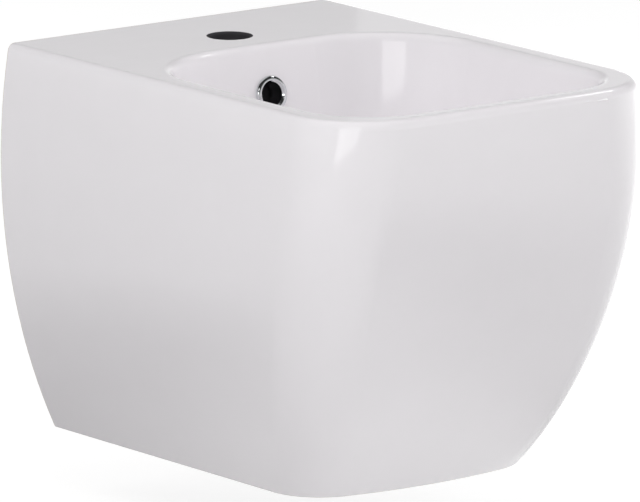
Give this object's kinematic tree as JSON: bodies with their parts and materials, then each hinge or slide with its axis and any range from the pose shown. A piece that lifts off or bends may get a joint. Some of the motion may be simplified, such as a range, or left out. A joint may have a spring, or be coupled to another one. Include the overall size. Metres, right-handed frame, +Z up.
{
  "type": "wall-hung bidet",
  "caption": "Wall-hung ceramic bidet with a rounded-square basin, open tap hole, overflow ring, push-plug waste, bottle trap and wall studs.",
  "frame": {"origin": "midway between the two wall studs, on the wall face", "axes": "X along the wall, +Y into the wall, front toward -Y, +Z up"},
  "size_m": [0.36, 0.5343, 0.342],
  "materials": {
    "glazed_china": "gloss white glaze",
    "chrome_plate": "polished chrome plate",
    "plain_brass": "machined",
    "black_rubber": "moulded",
    "clear_silicone": "moulded",
    "white_nylon": "moulded",
    "white_polypropylene": "moulded, slightly glossy",
    "grey_acetal": "moulded",
    "zinc_plated_steel": "zinc plated",
    "spring_steel": "drawn wire"
  },
  "bodies": {
    "bidet": {"ceramic_body": "glazed_china", "overflow_ring": "chrome_plate", "waste_body": "chrome_plate", "flange_seal": "black_rubber", "under_basin_seal": "black_rubber", "slip_washer": "white_nylon", "back_nut": "plain_brass", "plug_cartridge": "grey_acetal", "plug_spring": "spring_steel", "trap_coupling_nut": "white_polypropylene", "trap_coupling_washer": "black_rubber", "trap_inlet_tube": "white_polypropylene", "trap_inlet_nut": "white_polypropylene", "trap_inlet_washer": "black_rubber", "trap_head": "white_polypropylene", "trap_cup": "white_polypropylene", "trap_cup_seal": "black_rubber", "trap_outlet_nut": "white_polypropylene", "trap_outlet_washer": "black_rubber", "outlet_pipe": "white_polypropylene", "wall_studs": "zinc_plated_steel", "stud_sleeves": "white_nylon", "stud_washers": "zinc_plated_steel", "stud_nuts": "zinc_plated_steel"},
    "plug": {"plug_cap": "chrome_plate", "plug_seal": "clear_silicone", "plug_stem": "plain_brass"}
  },
  "joints": [
    {"name": "plug_slide", "type": "slide", "parent": "bidet", "child": "plug", "axis": [0, 0, 1], "range_m": [-0.009, 0], "stiffness_N_per_m": 900, "springref_m": 0.006, "deforming": ["plug_spring"]}
  ]
}
